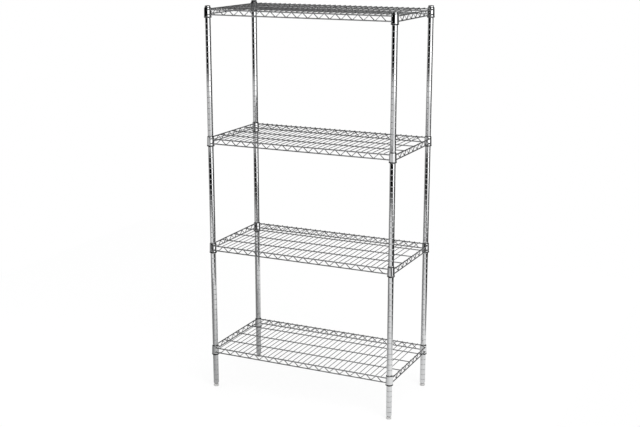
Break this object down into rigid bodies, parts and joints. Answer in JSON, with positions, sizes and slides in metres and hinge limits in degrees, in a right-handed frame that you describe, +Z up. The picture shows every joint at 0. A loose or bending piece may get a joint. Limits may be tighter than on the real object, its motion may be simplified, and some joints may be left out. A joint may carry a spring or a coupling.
{
  "type": "wire shelving unit",
  "caption": "Tall free-standing chrome wire shelving unit: grooved posts on levelling feet carry open wire shelves held by tapered black split sleeves.",
  "frame": {"origin": "on the floor, at the middle of the footprint, under the four pads", "axes": "+Z up along the posts, +X along the long side of the shelves, -Y towards the front"},
  "size_m": [0.9344, 0.4664, 1.8164],
  "materials": {
    "post_chrome": "bright chrome plate",
    "collar_chrome": "bright chrome plate",
    "wire_chrome": "bright chrome plate on drawn wire",
    "cap_chrome": "bright chrome plate",
    "sleeve_plastic": "moulded, satin black",
    "insert_steel": "zinc plated",
    "stem_steel": "zinc plated",
    "pad_plastic": "moulded, pale"
  },
  "bodies": {
    "post_set": {"post_front_left": "post_chrome", "post_front_right": "post_chrome", "post_rear_left": "post_chrome", "post_rear_right": "post_chrome", "post_cap_front_left": "cap_chrome", "post_cap_front_right": "cap_chrome", "post_cap_rear_left": "cap_chrome", "post_cap_rear_right": "cap_chrome", "sleeve_1_front_left": "sleeve_plastic", "sleeve_1_front_right": "sleeve_plastic", "sleeve_1_rear_left": "sleeve_plastic", "sleeve_1_rear_right": "sleeve_plastic", "sleeve_2_front_left": "sleeve_plastic", "sleeve_2_front_right": "sleeve_plastic", "sleeve_2_rear_left": "sleeve_plastic", "sleeve_2_rear_right": "sleeve_plastic", "sleeve_3_front_left": "sleeve_plastic", "sleeve_3_front_right": "sleeve_plastic", "sleeve_3_rear_left": "sleeve_plastic", "sleeve_3_rear_right": "sleeve_plastic", "sleeve_4_front_left": "sleeve_plastic", "sleeve_4_front_right": "sleeve_plastic", "sleeve_4_rear_left": "sleeve_plastic", "sleeve_4_rear_right": "sleeve_plastic", "foot_insert_front_left": "insert_steel", "foot_insert_front_right": "insert_steel", "foot_insert_rear_left": "insert_steel", "foot_insert_rear_right": "insert_steel"},
    "shelf_1": {"shelf_1_collars": "collar_chrome", "shelf_1_upper_rails": "wire_chrome", "shelf_1_lower_rails": "wire_chrome", "shelf_1_truss_wires": "wire_chrome", "shelf_1_stringers": "wire_chrome", "shelf_1_deck_wires": "wire_chrome"},
    "shelf_2": {"shelf_2_collars": "collar_chrome", "shelf_2_upper_rails": "wire_chrome", "shelf_2_lower_rails": "wire_chrome", "shelf_2_truss_wires": "wire_chrome", "shelf_2_stringers": "wire_chrome", "shelf_2_deck_wires": "wire_chrome"},
    "shelf_3": {"shelf_3_collars": "collar_chrome", "shelf_3_upper_rails": "wire_chrome", "shelf_3_lower_rails": "wire_chrome", "shelf_3_truss_wires": "wire_chrome", "shelf_3_stringers": "wire_chrome", "shelf_3_deck_wires": "wire_chrome"},
    "shelf_4": {"shelf_4_collars": "collar_chrome", "shelf_4_upper_rails": "wire_chrome", "shelf_4_lower_rails": "wire_chrome", "shelf_4_truss_wires": "wire_chrome", "shelf_4_stringers": "wire_chrome", "shelf_4_deck_wires": "wire_chrome"},
    "pad_front_left": {"foot_pad_front_left": "pad_plastic"},
    "stem_front_left": {"foot_stem_front_left": "stem_steel"},
    "pad_front_right": {"foot_pad_front_right": "pad_plastic"},
    "stem_front_right": {"foot_stem_front_right": "stem_steel"},
    "pad_rear_left": {"foot_pad_rear_left": "pad_plastic"},
    "stem_rear_left": {"foot_stem_rear_left": "stem_steel"},
    "pad_rear_right": {"foot_pad_rear_right": "pad_plastic"},
    "stem_rear_right": {"foot_stem_rear_right": "stem_steel"}
  },
  "joints": [
    {"name": "shelf_1_lift", "type": "slide", "parent": "post_set", "child": "shelf_1", "axis": [0, 0, 1], "range_m": [0, 0.462]},
    {"name": "shelf_2_lift", "type": "slide", "parent": "post_set", "child": "shelf_2", "axis": [0, 0, 1], "range_m": [0, 0.463]},
    {"name": "shelf_3_lift", "type": "slide", "parent": "post_set", "child": "shelf_3", "axis": [0, 0, 1], "range_m": [0, 0.539]},
    {"name": "shelf_4_lift", "type": "slide", "parent": "post_set", "child": "shelf_4", "axis": [0, 0, 1], "range_m": [0, 0.06]},
    {"name": "foot_height_front_left", "type": "slide", "parent": "post_set", "child": "pad_front_left", "axis": [0, 0, 1], "range_m": [-0.02, 0]},
    {"name": "foot_turn_front_left", "type": "hinge", "parent": "pad_front_left", "child": "stem_front_left", "pos_m": [-0.45, -0.216, 0.02], "axis": [0, 0, 1], "range_deg": [-5040, 0]},
    {"name": "foot_height_front_right", "type": "slide", "parent": "post_set", "child": "pad_front_right", "axis": [0, 0, 1], "range_m": [-0.02, 0]},
    {"name": "foot_turn_front_right", "type": "hinge", "parent": "pad_front_right", "child": "stem_front_right", "pos_m": [0.45, -0.216, 0.02], "axis": [0, 0, 1], "range_deg": [-5040, 0]},
    {"name": "foot_height_rear_left", "type": "slide", "parent": "post_set", "child": "pad_rear_left", "axis": [0, 0, 1], "range_m": [-0.02, 0]},
    {"name": "foot_turn_rear_left", "type": "hinge", "parent": "pad_rear_left", "child": "stem_rear_left", "pos_m": [-0.45, 0.216, 0.02], "axis": [0, 0, 1], "range_deg": [-5040, 0]},
    {"name": "foot_height_rear_right", "type": "slide", "parent": "post_set", "child": "pad_rear_right", "axis": [0, 0, 1], "range_m": [-0.02, 0]},
    {"name": "foot_turn_rear_right", "type": "hinge", "parent": "pad_rear_right", "child": "stem_rear_right", "pos_m": [0.45, 0.216, 0.02], "axis": [0, 0, 1], "range_deg": [-5040, 0]}
  ],
  "couplings": [
    {"joint": "foot_height_front_left", "follows": "foot_turn_front_left", "m_per_rad": 0.00022459},
    {"joint": "foot_height_front_right", "follows": "foot_turn_front_right", "m_per_rad": 0.00022459},
    {"joint": "foot_height_rear_left", "follows": "foot_turn_rear_left", "m_per_rad": 0.00022459},
    {"joint": "foot_height_rear_right", "follows": "foot_turn_rear_right", "m_per_rad": 0.00022459}
  ]
}
